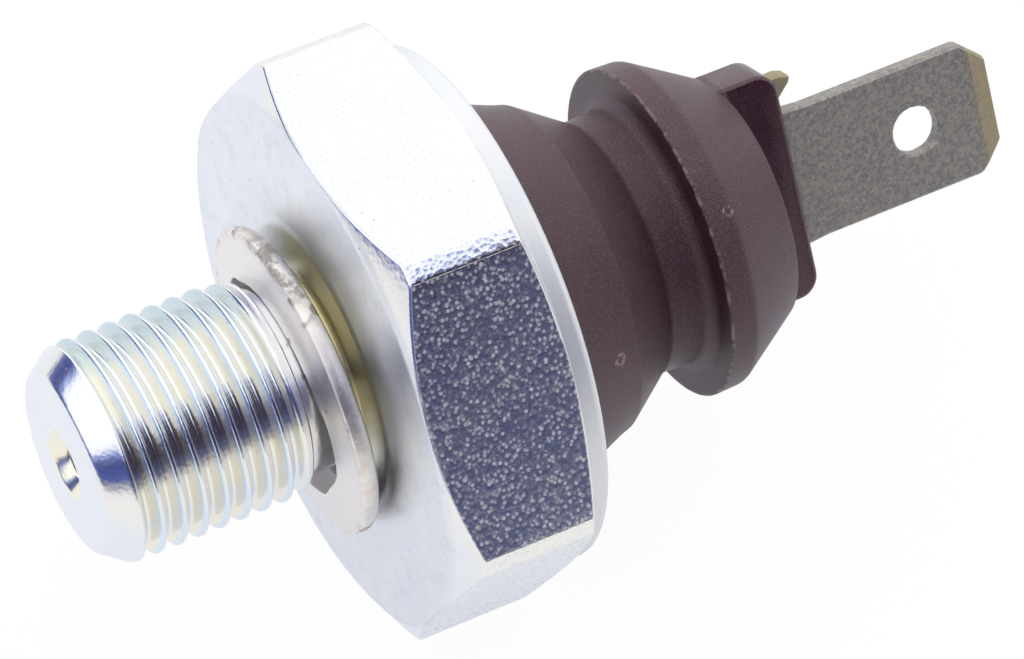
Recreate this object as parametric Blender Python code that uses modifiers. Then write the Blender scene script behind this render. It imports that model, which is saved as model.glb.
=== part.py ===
"""Oil pressure sender: a screw-in oil pressure switch with a moulded insulator and one blade terminal.

Every piece is built about its own upright axis, with heights measured from the tip of the threaded
shank. One empty then lays the whole sender along world X, resting on a flat of its hexagon.
"""

import math

import bmesh
import bpy

MM = 0.001

# Fits between pieces that touch on the real sender
STACK_GAP = 0.15 * MM
MOULD_GAP = 0.15 * MM
SEAT_GAP = 0.10 * MM

# Threaded shank and oil port
THREAD_DIAMETER = 9.96 * MM
THREAD_PITCH = 1.0 * MM
THREAD_CREST_WIDTH = 0.15 * MM
THREAD_ROOT_WIDTH = 0.17 * MM
THREAD_FLANK_ANGLE = math.radians(30)
THREAD_CREST_Z = 0.82 * MM
SHANK_LENGTH = 12.1 * MM
TIP_FACE_RADIUS = 4.04 * MM
TIP_CHAMFER_LENGTH = 1.3 * MM
THREAD_LENGTH = 8.3 * MM
THREAD_RUNOUT_LENGTH = 1.15 * MM
THREAD_RUNOUT_RADIUS = 4.70 * MM
THREAD_LEAD_IN = 0.5 * MM
THREAD_LEAD_OUT = 1.0 * MM
THREAD_END_STEP = 0.08 * MM
NECK_RADIUS = 4.30 * MM
NECK_FILLET = 0.35 * MM
PORT_RADIUS = 1.00 * MM
PORT_MOUTH_RADIUS = 1.55 * MM

# Hexagon, with its corners turned down
ACROSS_FLATS = 24.0 * MM
CORNER_STAND = 1.6 * MM
FACE_INSET = 0.05 * MM
SEAT_RADIUS = 6.85 * MM
SEAT_HEIGHT = 0.10 * MM
HEX_LENGTH = 6.83 * MM
CHAMFER_ANGLE = math.radians(30)

# Cup behind the hexagon, and the wall crimped over the insulator
FLOOR_THICKNESS = 1.75 * MM
CHAMBER_MARGIN = 2.6 * MM
CHAMBER_DEPTH = 0.4 * MM
RIM_INSET = 0.15 * MM
WALL_THICKNESS = 1.65 * MM
RIM_BEND_RADIUS = 1.0 * MM
LIP_REACH = 0.95 * MM
LIP_THICKNESS = 0.95 * MM
LIP_EDGE = 0.12 * MM
LIP_DROP = 0.12 * MM

# Captive sealing washer, dropped and leaning on the undercut neck
WASHER_RADIUS = 7.15 * MM
WASHER_THICKNESS = 1.35 * MM
WASHER_DISH = 0.45 * MM
WASHER_CREASE = 0.12 * MM
WASHER_EDGE_RADIUS = 0.45 * MM
WASHER_BORE_RADIUS = 5.10 * MM
WASHER_TAB_RADIUS = 4.85 * MM
WASHER_TAB_WIDTH = math.radians(50)
WASHER_TABS = 3
WASHER_LEAN = math.radians(3.4)

# Stack in the cup
STACK_SIDE_CLEARANCE = 0.3 * MM
SEAL_SECTION_RADIUS = 0.6 * MM
DIAPHRAGM_THICKNESS = 0.15 * MM
CONTACT_RING_THICKNESS = 0.8 * MM
CONTACT_RING_BORE = 3.7 * MM
GASKET_THICKNESS = 0.6 * MM

# Moving pieces and their spring
PLUNGER_CLEARANCE = 0.3 * MM
PLUNGER_FLANGE_THICKNESS = 0.45 * MM
PLUNGER_BOSS_RADIUS = 2.0 * MM
PLATE_OVERLAP = 0.9 * MM
PLATE_THICKNESS = 0.5 * MM
PLATE_NUB_HEIGHT = 0.45 * MM
PLATE_TRAVEL = 0.5 * MM
PLATE_SIDE_CLEARANCE = 0.6 * MM
PLATE_HEADROOM = 0.9 * MM
SPRING_MEAN_RADIUS = 1.9 * MM
SPRING_WIRE_RADIUS = 0.2 * MM
SPRING_LENGTH = 6.4 * MM
SPRING_TURNS = 6

# Contact pin that seats the spring and grips the terminal
PIN_HEAD_RADIUS = 2.4 * MM
PIN_HEAD_THICKNESS = 0.8 * MM
PIN_HEAD_CLEARANCE = 0.3 * MM
PIN_RADIUS = 1.6 * MM
PIN_LENGTH = 5.85 * MM
PIN_NUB_HEIGHT = 0.5 * MM
NUB_CLEARANCE = 0.3 * MM

# Insulator: base in the cup, tapered shoulder, neck, mushroom flange and oblong block
BASE_THICKNESS = 1.6 * MM
SHOULDER_CLEARANCE = 0.25 * MM
SHOULDER_START = 1.15 * MM
SHOULDER_TOP_RADIUS = 7.58 * MM
SHOULDER_TOP = 3.7 * MM
SHOULDER_CURVE = 1.6
INSULATOR_NECK_RADIUS = 5.85 * MM
INSULATOR_NECK_START = 6.1 * MM
FLANGE_START = 8.12 * MM
FLANGE_RADIUS = 7.60 * MM
FLANGE_EDGE = 0.22 * MM
FLANGE_FILLET = 0.55 * MM
FLANGE_RIM_LENGTH = 1.0 * MM
FLANGE_END = 12.5 * MM
FLANGE_END_RADIUS = 5.55 * MM
BLOCK_END = 15.0 * MM
BLOCK_LENGTH = 10.8 * MM
BLOCK_OFFSET = -0.25 * MM
BLOCK_THICKNESS = 2.5 * MM
BLOCK_CORNER = 1.0 * MM
BLOCK_EDGE = 0.22 * MM

# Blade terminal, stamped from strip with a stem, a root, an ear and the blade
TERMINAL_ANGLE = math.radians(153.9)
TERMINAL_OFFSET = -0.05 * MM
TERMINAL_THICKNESS = 0.8 * MM
TERMINAL_EDGE = 0.12 * MM
STEM_WIDTH = 2.4 * MM
STEM_GRIP = 2.0 * MM
ROOT_DEPTH = 2.0 * MM
ROOT_WIDTH = 6.54 * MM
ROOT_TAPER = 1.3 * MM
ROOT_SINK = 0.2 * MM
BLADE_WIDTH = 6.3 * MM
BLADE_LENGTH = 10.35 * MM
BLADE_TIP_CHAMFER = 1.1 * MM
BLADE_TIP_CHAMFER_LENGTH = 1.2 * MM
BLADE_LEAD_LENGTH = 0.85 * MM
BLADE_LEAD_DEPTH = 0.24 * MM
BLADE_HOLE_RADIUS = 1.12 * MM
BLADE_HOLE_FROM_TIP = 4.0 * MM
EAR_OUTER = 4.95 * MM
EAR_WIDTH = 1.15 * MM
EAR_HEIGHT = 1.0 * MM
EAR_HEEL_SHARE = 0.25
EAR_SIDE_SHARE = 0.5
EAR_CREST_START = 0.6
EAR_CREST_END = 0.85

# Facets and edges
ROUND_STEPS = 48
SMALL_STEPS = 32
COIL_STEPS = 16
HOLE_STEPS = 20
SEAL_STEPS = 10
WASHER_HOLE_STEPS = 72
BEND_STEPS = 4
FILLET_STEPS = 2
SHOULDER_STEPS = 4
BEVEL_ANGLE = math.radians(40)
SMOOTH_ANGLE = math.radians(35)
WELD_DISTANCE = 0.001 * MM

# Heights along the axis, from the tip
THREAD_END_Z = THREAD_LENGTH + THREAD_RUNOUT_LENGTH
FACE_Z = SHANK_LENGTH
FLOOR_Z = FACE_Z + FLOOR_THICKNESS
SEAL_Z = FLOOR_Z + STACK_GAP + SEAL_SECTION_RADIUS
DIAPHRAGM_Z = SEAL_Z + SEAL_SECTION_RADIUS + STACK_GAP
RING_Z = DIAPHRAGM_Z + DIAPHRAGM_THICKNESS + STACK_GAP
BASE_Z = RING_Z + CONTACT_RING_THICKNESS + STACK_GAP
GASKET_Z = BASE_Z + BASE_THICKNESS + STACK_GAP
LIP_Z = GASKET_Z + GASKET_THICKNESS + STACK_GAP
RIM_END = LIP_Z + LIP_THICKNESS
PLATE_TOP = BASE_Z + PLATE_THICKNESS
PLATE_ROOM_TOP = PLATE_TOP + PLATE_TRAVEL + PLATE_HEADROOM
SPRING_Z = PLATE_TOP + SEAT_GAP
PIN_Z = SPRING_Z + SPRING_LENGTH + SEAT_GAP
PIN_HEAD_TOP = PIN_Z + PIN_HEAD_THICKNESS
PIN_END = PIN_HEAD_TOP + PIN_LENGTH
BLOCK_TOP = RIM_END + BLOCK_END
TOTAL_LENGTH = BLOCK_TOP + BLADE_LENGTH

# Radii that follow from others and from the fits
FACE_RADIUS = ACROSS_FLATS / 2 - FACE_INSET
CORNER_RADIUS = ACROSS_FLATS / 2 + CORNER_STAND
RIM_RADIUS = ACROSS_FLATS / 2 - RIM_INSET
CUP_RADIUS = RIM_RADIUS - WALL_THICKNESS
CHAMBER_RADIUS = CUP_RADIUS - CHAMBER_MARGIN
LIP_RADIUS = CUP_RADIUS - LIP_REACH
SHOULDER_RADIUS = LIP_RADIUS - SHOULDER_CLEARANCE
STACK_RADIUS = CUP_RADIUS - STACK_SIDE_CLEARANCE
PLATE_RADIUS = CONTACT_RING_BORE + PLATE_OVERLAP
NUB_RADIUS = SPRING_MEAN_RADIUS - SPRING_WIRE_RADIUS - NUB_CLEARANCE
SPRING_BORE_RADIUS = PIN_HEAD_RADIUS + PIN_HEAD_CLEARANCE
WASHER_DROP = WASHER_TAB_RADIUS - NECK_RADIUS - SEAT_GAP


def clear_scene():
    """Removes whatever objects the file holds."""
    for obj in list(bpy.data.objects):
        bpy.data.objects.remove(obj, do_unlink=True)


def new_collection(name):
    """Adds a collection under the scene."""
    collection = bpy.data.collections.new(name)
    bpy.context.scene.collection.children.link(collection)
    return collection


def material(name, colour, roughness, metallic):
    """A plain Principled material."""
    result = bpy.data.materials.new(name)
    result.use_nodes = True
    shader = result.node_tree.nodes["Principled BSDF"]
    shader.inputs["Base Color"].default_value = (*colour, 1.0)
    shader.inputs["Roughness"].default_value = roughness
    shader.inputs["Metallic"].default_value = metallic
    return result


def arc(centre, radius, start, end, steps):
    """Points (radius, height) along an arc of a profile, angles in degrees from straight outward."""
    points = []
    for i in range(steps + 1):
        angle = math.radians(start + (end - start) * i / steps)
        points.append((centre[0] + radius * math.cos(angle), centre[1] + radius * math.sin(angle)))
    return points


def turned(name, profile, steps, closed=True, rise=0.0, turns=1):
    """Turns a profile of (radius, height) points, listed down its outer side, with a rise in each turn."""
    count = len(profile)
    edges = [(i, i + 1) for i in range(count - 1)]
    if closed:
        edges.append((count - 1, 0))
    mesh = bpy.data.meshes.new(name)
    mesh.from_pydata([(r, 0.0, z) for r, z in profile], edges, [])
    obj = bpy.data.objects.new(name, mesh)
    bpy.context.scene.collection.objects.link(obj)
    screw = obj.modifiers.new("turn", "SCREW")
    screw.axis = "Z"
    screw.angle = math.tau
    screw.screw_offset = rise
    screw.iterations = turns
    screw.steps = steps
    screw.render_steps = steps
    screw.use_merge_vertices = rise == 0.0
    screw.merge_threshold = WELD_DISTANCE
    return obj


def slab(name, outline, holes, thickness):
    """A flat solid: an outline in X and Y with holes, as thick as given about its own plane."""
    curve = bpy.data.curves.new(name, "CURVE")
    curve.dimensions = "2D"
    curve.fill_mode = "BOTH"
    curve.extrude = thickness / 2
    for points in [outline, *holes]:
        spline = curve.splines.new("POLY")
        spline.points.add(len(points) - 1)
        for point, (x, y) in zip(spline.points, points):
            point.co = (x, y, 0.0, 1.0)
        spline.use_cyclic_u = True
    return curve_solid(name, curve)


def curve_solid(name, curve):
    """Makes a curve's evaluated shape into a closed mesh object."""
    source = bpy.data.objects.new(name + "_curve", curve)
    bpy.context.scene.collection.objects.link(source)
    return welded(name, [source])


def welded(name, sources, shape=None):
    """Makes the evaluated shapes of objects, which it drops, into one closed mesh object.

    A shape function, where one is given, moves every vertex of the last of them first.
    """
    work = bmesh.new()
    for source in sources:
        graph = bpy.context.evaluated_depsgraph_get()
        mesh = bpy.data.meshes.new_from_object(source.evaluated_get(graph))
        bpy.data.objects.remove(source, do_unlink=True)
        if shape and source is sources[-1]:
            for vertex in mesh.vertices:
                vertex.co = shape(vertex.co)
        work.from_mesh(mesh)
        bpy.data.meshes.remove(mesh)
    bmesh.ops.remove_doubles(work, verts=work.verts, dist=WELD_DISTANCE)
    bmesh.ops.recalc_face_normals(work, faces=work.faces)
    mesh = bpy.data.meshes.new(name)
    work.to_mesh(mesh)
    work.free()
    obj = bpy.data.objects.new(name, mesh)
    bpy.context.scene.collection.objects.link(obj)
    return obj


def circle(radius, steps, centre=(0.0, 0.0)):
    """Points round a circle in X and Y."""
    turns = [math.tau * i / steps for i in range(steps)]
    return [(centre[0] + radius * math.cos(t), centre[1] + radius * math.sin(t)) for t in turns]


def combine(obj, tool, operation):
    """Adds a Boolean with a tool solid, and keeps the tool as a hidden guide."""
    boolean = obj.modifiers.new(tool.name, "BOOLEAN")
    boolean.operation = operation
    boolean.object = tool
    tool.hide_render = True
    tool.display_type = "WIRE"
    GUIDES.append(tool)


def soften(obj, width, segments):
    """Rounds the sharp edges of a solid."""
    bevel = obj.modifiers.new("edges", "BEVEL")
    bevel.width = width
    bevel.segments = segments
    bevel.limit_method = "ANGLE"
    bevel.angle_limit = BEVEL_ANGLE


def stand_up(obj, offset):
    """Stands a flat solid upright in the terminal's plane, moved sideways across the strip."""
    obj.rotation_euler = (math.radians(90), 0.0, TERMINAL_ANGLE + math.radians(90))
    obj.location = (-offset * math.sin(TERMINAL_ANGLE), offset * math.cos(TERMINAL_ANGLE), 0.0)


def thread_turns():
    """Open helical surface with a right-hand thread form, longer at both ends than the thread."""
    crest = THREAD_DIAMETER / 2
    flank = (THREAD_PITCH - THREAD_CREST_WIDTH - THREAD_ROOT_WIDTH) / 2
    root = crest - flank / math.tan(THREAD_FLANK_ANGLE)
    low = THREAD_CREST_Z - THREAD_CREST_WIDTH / 2 - THREAD_PITCH
    form = [(crest, low), (crest, low + THREAD_CREST_WIDTH), (root, low + THREAD_CREST_WIDTH + flank)]
    form += [(root, low + THREAD_PITCH - flank), (crest, low + THREAD_PITCH)]
    turns = math.ceil((THREAD_END_Z - low) / THREAD_PITCH)
    return turned("thread", form, ROUND_STEPS, False, THREAD_PITCH, turns)


def thread_vertex(place):
    """Draws a vertex of the thread back to the thread's two ends, where its groove also fades out."""
    height = min(max(place.z, TIP_CHAMFER_LENGTH), THREAD_END_Z)
    depth = THREAD_DIAMETER / 2 - math.hypot(place.x, place.y)
    lead_in = (height - TIP_CHAMFER_LENGTH) / THREAD_LEAD_IN
    lead_out = (THREAD_END_Z - height) / THREAD_LEAD_OUT
    share = min(lead_in, lead_out, 1.0)
    runout = max(height - THREAD_LENGTH, 0.0) / THREAD_RUNOUT_LENGTH
    crest = THREAD_DIAMETER / 2 - (THREAD_DIAMETER / 2 - THREAD_RUNOUT_RADIUS) * runout
    angle = math.atan2(place.y, place.x)
    radius = crest - depth * share
    return (radius * math.cos(angle), radius * math.sin(angle), height)


def hex_body():
    """Steel body, turned, threaded and cut to a hexagon, with its port, neck, cup and crimped lip.

    The profile runs from the tip's end of the thread through the port and the cup, over the lip and the
    hexagon, and along the neck to the other end of the thread, where the helical surface closes it.
    """
    mouth_depth = PORT_MOUTH_RADIUS - PORT_RADIUS
    rise = (CORNER_RADIUS - FACE_RADIUS) * math.tan(CHAMFER_ANGLE)
    hex_end = FACE_Z + HEX_LENGTH
    bend = (RIM_RADIUS - RIM_BEND_RADIUS, RIM_END - RIM_BEND_RADIUS)
    profile = [(THREAD_DIAMETER / 2, TIP_CHAMFER_LENGTH), (TIP_FACE_RADIUS, 0.0)]
    profile += [(PORT_MOUTH_RADIUS, 0.0), (PORT_RADIUS, mouth_depth)]
    profile += [(PORT_RADIUS, FLOOR_Z - CHAMBER_DEPTH), (CHAMBER_RADIUS, FLOOR_Z - CHAMBER_DEPTH)]
    profile += [(CHAMBER_RADIUS, FLOOR_Z), (CUP_RADIUS, FLOOR_Z), (CUP_RADIUS, LIP_Z)]
    profile += [(LIP_RADIUS + LIP_EDGE, LIP_Z)]
    profile += [(LIP_RADIUS, LIP_Z + LIP_EDGE), (LIP_RADIUS, RIM_END - LIP_DROP - LIP_EDGE)]
    profile += [(LIP_RADIUS + LIP_EDGE, RIM_END - LIP_DROP)]
    profile += arc(bend, RIM_BEND_RADIUS, 90, 0, BEND_STEPS)
    profile += [(FACE_RADIUS, hex_end), (CORNER_RADIUS, hex_end - rise)]
    profile += [(CORNER_RADIUS, FACE_Z + rise), (FACE_RADIUS, FACE_Z)]
    profile += [(SEAT_RADIUS + SEAT_HEIGHT, FACE_Z), (SEAT_RADIUS, FACE_Z - SEAT_HEIGHT)]
    fillet = (NECK_RADIUS + NECK_FILLET, FACE_Z - SEAT_HEIGHT - NECK_FILLET)
    profile += arc(fillet, NECK_FILLET, 90, 180, FILLET_STEPS)
    profile += [(NECK_RADIUS, THREAD_END_Z + THREAD_END_STEP), (THREAD_RUNOUT_RADIUS, THREAD_END_Z)]
    blank = turned("blank", profile, ROUND_STEPS, False)
    body = welded("hex_body", [blank, thread_turns()], thread_vertex)
    work = bmesh.new()
    bmesh.ops.create_cone(work, cap_ends=True, segments=6, depth=2 * TOTAL_LENGTH,
                          radius1=ACROSS_FLATS / math.sqrt(3), radius2=ACROSS_FLATS / math.sqrt(3))
    prism_mesh = bpy.data.meshes.new("hexagon")
    work.to_mesh(prism_mesh)
    work.free()
    prism = bpy.data.objects.new("hexagon", prism_mesh)
    prism.rotation_euler = (0.0, 0.0, math.radians(30))
    bpy.context.scene.collection.objects.link(prism)
    combine(body, prism, "INTERSECT")
    return body


def washer_hole(angle):
    """Radius of the washer's hole at an angle: round, drawn in at each retaining tab."""
    step = math.tau / WASHER_TABS
    off = (angle - math.radians(90) + step / 2) % step - step / 2
    if abs(off) >= WASHER_TAB_WIDTH / 2:
        return WASHER_BORE_RADIUS
    depth = math.cos(math.pi * off / WASHER_TAB_WIDTH) ** 2
    return WASHER_BORE_RADIUS - (WASHER_BORE_RADIUS - WASHER_TAB_RADIUS) * depth


def sealing_washer():
    """Soft crush ring with a dished front, a round rear edge and three tabs that keep it on the neck."""
    half = WASHER_THICKNESS / 2
    inner = WASHER_TAB_RADIUS - WASHER_EDGE_RADIUS / 2
    edge = WASHER_RADIUS - WASHER_EDGE_RADIUS
    front = WASHER_DISH - half
    profile = [(inner, half)]
    profile += arc((edge, half - WASHER_EDGE_RADIUS), WASHER_EDGE_RADIUS, 90, 0, BEND_STEPS)
    profile += [(WASHER_RADIUS, front + WASHER_CREASE), (WASHER_RADIUS - WASHER_CREASE, front)]
    profile += [(inner, -half)]
    washer = turned("sealing_washer", profile, ROUND_STEPS)
    turns = [math.tau * i / WASHER_HOLE_STEPS for i in range(WASHER_HOLE_STEPS)]
    outline = [(washer_hole(t) * math.cos(t), washer_hole(t) * math.sin(t)) for t in turns]
    hole = slab("washer_hole", outline, [], 3 * WASHER_THICKNESS)
    combine(washer, hole, "DIFFERENCE")
    lean_reach = edge * math.sin(WASHER_LEAN)
    height = FACE_Z - SEAT_HEIGHT - SEAT_GAP - lean_reach - half
    for piece in (washer, hole):
        piece.location = (0.0, -WASHER_DROP, height)
        piece.rotation_euler = (-WASHER_LEAN, 0.0, 0.0)
    return washer


def seal_ring():
    """Rubber ring that seals the diaphragm's edge to the floor of the cup."""
    centre = (STACK_RADIUS - SEAL_SECTION_RADIUS, SEAL_Z)
    section = arc(centre, SEAL_SECTION_RADIUS, 180, -180, SEAL_STEPS)[:-1]
    return turned("seal_ring", section, ROUND_STEPS)


def flat_ring(name, bore, bottom, thickness):
    """A flat ring that fills the cup from a bore outward."""
    top = bottom + thickness
    profile = [(bore, top), (STACK_RADIUS, top), (STACK_RADIUS, bottom), (bore, bottom)]
    return turned(name, profile, ROUND_STEPS)


def contact_ring():
    """Fixed contact, earthed to the body."""
    return flat_ring("contact_ring", CONTACT_RING_BORE, RING_Z, CONTACT_RING_THICKNESS)


def insulator_gasket():
    """Ring that takes the crimped lip's load on the moulding's base."""
    return flat_ring("insulator_gasket", SHOULDER_RADIUS + STACK_GAP, GASKET_Z, GASKET_THICKNESS)


def diaphragm():
    """Thin film disc that the oil pressure bows."""
    top = DIAPHRAGM_Z + DIAPHRAGM_THICKNESS
    profile = [(0.0, top), (STACK_RADIUS, top), (STACK_RADIUS, DIAPHRAGM_Z), (0.0, DIAPHRAGM_Z)]
    return turned("diaphragm", profile, ROUND_STEPS, closed=False)


def plunger():
    """Plastic push piece between the diaphragm and the moving contact."""
    flange = CONTACT_RING_BORE - PLUNGER_CLEARANCE
    top = BASE_Z - SEAT_GAP
    profile = [(0.0, top), (PLUNGER_BOSS_RADIUS, top)]
    profile += [(PLUNGER_BOSS_RADIUS, RING_Z + PLUNGER_FLANGE_THICKNESS)]
    profile += [(flange, RING_Z + PLUNGER_FLANGE_THICKNESS), (flange, RING_Z), (0.0, RING_Z)]
    return turned("plunger", profile, SMALL_STEPS, closed=False)


def contact_plate():
    """Moving contact disc, with a nub that centres the spring."""
    nub_top = PLATE_TOP + PLATE_NUB_HEIGHT
    profile = [(0.0, nub_top), (NUB_RADIUS, nub_top), (NUB_RADIUS, PLATE_TOP)]
    profile += [(PLATE_RADIUS, PLATE_TOP), (PLATE_RADIUS, BASE_Z), (0.0, BASE_Z)]
    return turned("contact_plate", profile, SMALL_STEPS, closed=False)


def contact_spring():
    """Coil spring that presses the moving contact on the contact ring."""
    curve = bpy.data.curves.new("contact_spring", "CURVE")
    curve.dimensions = "3D"
    curve.bevel_depth = SPRING_WIRE_RADIUS
    curve.bevel_resolution = 2
    curve.resolution_u = 1
    curve.render_resolution_u = 0
    curve.use_fill_caps = True
    low = SPRING_Z + SPRING_WIRE_RADIUS
    rise = SPRING_LENGTH - 2 * SPRING_WIRE_RADIUS
    count = SPRING_TURNS * COIL_STEPS
    spline = curve.splines.new("POLY")
    spline.points.add(count)
    for i in range(count + 1):
        turn = math.tau * i / COIL_STEPS
        x = SPRING_MEAN_RADIUS * math.cos(turn)
        y = SPRING_MEAN_RADIUS * math.sin(turn)
        spline.points[i].co = (x, y, low + rise * i / count, 1.0)
    return curve_solid("contact_spring", curve)


def contact_pin():
    """Brass pin: a head with a nub seats the spring, and a slotted shank grips the terminal's stem."""
    profile = [(0.0, PIN_END), (PIN_RADIUS, PIN_END), (PIN_RADIUS, PIN_HEAD_TOP)]
    profile += [(PIN_HEAD_RADIUS, PIN_HEAD_TOP), (PIN_HEAD_RADIUS, PIN_Z), (NUB_RADIUS, PIN_Z)]
    profile += [(NUB_RADIUS, PIN_Z - PIN_NUB_HEIGHT), (0.0, PIN_Z - PIN_NUB_HEIGHT)]
    pin = turned("contact_pin", profile, SMALL_STEPS, closed=False)
    bottom = PIN_END - STEM_GRIP - MOULD_GAP
    side = 2 * PIN_RADIUS
    outline = [(-side, bottom), (side, bottom), (side, PIN_END + side), (-side, PIN_END + side)]
    slot = slab("pin_slot", outline, [], TERMINAL_THICKNESS + 2 * MOULD_GAP)
    stand_up(slot, TERMINAL_OFFSET)
    combine(pin, slot, "DIFFERENCE")
    return pin


def insulator_profile():
    """Outer and inner outline of the turned part of the moulding."""
    shoulder = RIM_END + SHOULDER_START
    shoulder_top = RIM_END + SHOULDER_TOP
    flange = RIM_END + FLANGE_START
    fillet = (INSULATOR_NECK_RADIUS + FLANGE_FILLET, flange - FLANGE_FILLET)
    rim_end = flange + FLANGE_EDGE + FLANGE_RIM_LENGTH
    profile = [(0.0, RIM_END + FLANGE_END), (FLANGE_END_RADIUS, RIM_END + FLANGE_END)]
    profile += [(FLANGE_RADIUS - FLANGE_EDGE / 2, rim_end), (FLANGE_RADIUS, rim_end - FLANGE_EDGE)]
    profile += [(FLANGE_RADIUS, flange + FLANGE_EDGE), (FLANGE_RADIUS - FLANGE_EDGE, flange)]
    profile += arc(fillet, FLANGE_FILLET, 90, 180, FILLET_STEPS)
    profile += [(INSULATOR_NECK_RADIUS, RIM_END + INSULATOR_NECK_START)]
    for i in range(SHOULDER_STEPS + 1):
        share = i / SHOULDER_STEPS
        radius = SHOULDER_TOP_RADIUS + (SHOULDER_RADIUS - SHOULDER_TOP_RADIUS) * share ** SHOULDER_CURVE
        profile.append((radius, shoulder_top + (shoulder - shoulder_top) * share))
    profile += [(SHOULDER_RADIUS, BASE_Z + BASE_THICKNESS), (STACK_RADIUS, BASE_Z + BASE_THICKNESS)]
    room = PLATE_RADIUS + PLATE_SIDE_CLEARANCE
    grip = PIN_RADIUS + MOULD_GAP
    profile += [(STACK_RADIUS, BASE_Z), (room, BASE_Z), (room, PLATE_ROOM_TOP)]
    profile += [(SPRING_BORE_RADIUS, PLATE_ROOM_TOP), (SPRING_BORE_RADIUS, PIN_HEAD_TOP + MOULD_GAP)]
    profile += [(grip, PIN_HEAD_TOP + MOULD_GAP), (grip, PIN_END + MOULD_GAP), (0.0, PIN_END + MOULD_GAP)]
    return profile


def terminal_slot():
    """Outline of the moulding's pocket for the terminal's stem, root and ear, open at the block's end."""
    stem = STEM_WIDTH / 2 + MOULD_GAP
    root = ROOT_WIDTH / 2 + MOULD_GAP
    outer = EAR_OUTER + MOULD_GAP
    low = PIN_END - STEM_GRIP / 2
    shoulder = BLOCK_TOP - ROOT_DEPTH - MOULD_GAP
    over = BLOCK_TOP + ROOT_DEPTH
    return [(-stem, low), (stem, low), (stem, shoulder), (root, shoulder), (root, over), (-outer, over),
            (-outer, shoulder), (-stem, shoulder)]


def terminal_outline():
    """Stem, root, ear and blade of the terminal in its own plane."""
    stem = STEM_WIDTH / 2
    blade = BLADE_WIDTH / 2
    root = ROOT_WIDTH / 2
    shoulder = BLOCK_TOP - ROOT_DEPTH
    sink = BLOCK_TOP - ROOT_SINK
    inner = EAR_OUTER - EAR_WIDTH
    top = BLOCK_TOP + EAR_HEIGHT
    chamfer = TOTAL_LENGTH - BLADE_TIP_CHAMFER_LENGTH
    right = [(stem, PIN_END - STEM_GRIP), (stem, shoulder), (root, shoulder), (root, BLOCK_TOP),
             (blade, BLOCK_TOP + ROOT_TAPER), (blade, chamfer), (blade - BLADE_TIP_CHAMFER, TOTAL_LENGTH)]
    left = [(BLADE_TIP_CHAMFER - blade, TOTAL_LENGTH), (-blade, chamfer), (-blade, BLOCK_TOP + ROOT_TAPER),
            (-root, BLOCK_TOP), (-root, sink), (-inner, sink)]
    ear = [(-inner, BLOCK_TOP + EAR_HEIGHT * EAR_HEEL_SHARE), (-inner - EAR_WIDTH * EAR_CREST_START, top),
           (-inner - EAR_WIDTH * EAR_CREST_END, top), (-EAR_OUTER, BLOCK_TOP + EAR_HEIGHT * EAR_SIDE_SHARE)]
    return right + left + ear + [(-EAR_OUTER, shoulder), (-stem, shoulder), (-stem, PIN_END - STEM_GRIP)]


def insulator():
    """Brown moulding: turned base, neck and flange, with an oblong block that carries the terminal."""
    body = turned("insulator", insulator_profile(), ROUND_STEPS, closed=False)
    half = BLOCK_LENGTH / 2
    low = RIM_END + FLANGE_END - BLOCK_CORNER
    outline = [(-half, low), (half, low)]
    outline += arc((half - BLOCK_CORNER, BLOCK_TOP - BLOCK_CORNER), BLOCK_CORNER, 0, 90, BEND_STEPS)
    outline += arc((BLOCK_CORNER - half, BLOCK_TOP - BLOCK_CORNER), BLOCK_CORNER, 90, 180, BEND_STEPS)
    block = slab("block", outline, [], BLOCK_THICKNESS)
    soften(block, BLOCK_EDGE, 2)
    stand_up(block, BLOCK_OFFSET)
    combine(body, block, "UNION")
    slot = slab("terminal_slot", terminal_slot(), [], TERMINAL_THICKNESS + 2 * MOULD_GAP)
    stand_up(slot, TERMINAL_OFFSET)
    combine(body, slot, "DIFFERENCE")
    return body


def terminal():
    """Stamped blade terminal with its detent hole and the ear beside its root."""
    hole = circle(BLADE_HOLE_RADIUS, HOLE_STEPS, (0.0, TOTAL_LENGTH - BLADE_HOLE_FROM_TIP))
    blade = slab("terminal", terminal_outline(), [hole], TERMINAL_THICKNESS)
    lead = TOTAL_LENGTH - BLADE_LEAD_LENGTH
    work = bmesh.new()
    work.from_mesh(blade.data)
    bmesh.ops.bisect_plane(work, geom=[*work.verts, *work.edges, *work.faces],
                           plane_co=(0.0, lead, 0.0), plane_no=(0.0, 1.0, 0.0))
    for vert in work.verts:
        if vert.co.y > lead + WELD_DISTANCE:
            vert.co.z *= 1 - 2 * BLADE_LEAD_DEPTH / TERMINAL_THICKNESS
    work.to_mesh(blade.data)
    work.free()
    soften(blade, TERMINAL_EDGE, 1)
    stand_up(blade, TERMINAL_OFFSET)
    return blade


def settle(obj, collection, carrier):
    """Applies a piece's modifiers, shades its round faces smooth and hangs it on the carrier."""
    graph = bpy.context.evaluated_depsgraph_get()
    mesh = bpy.data.meshes.new_from_object(obj.evaluated_get(graph))
    mesh.name = obj.name
    obj.modifiers.clear()
    obj.data = mesh
    mesh.shade_smooth()
    mesh.set_sharp_from_angle(angle=SMOOTH_ANGLE)
    move(obj, collection)
    obj.parent = carrier


def move(obj, collection):
    """Puts an object in one collection only."""
    for other in list(obj.users_collection):
        other.objects.unlink(obj)
    collection.objects.link(obj)


GUIDES = []


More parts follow.
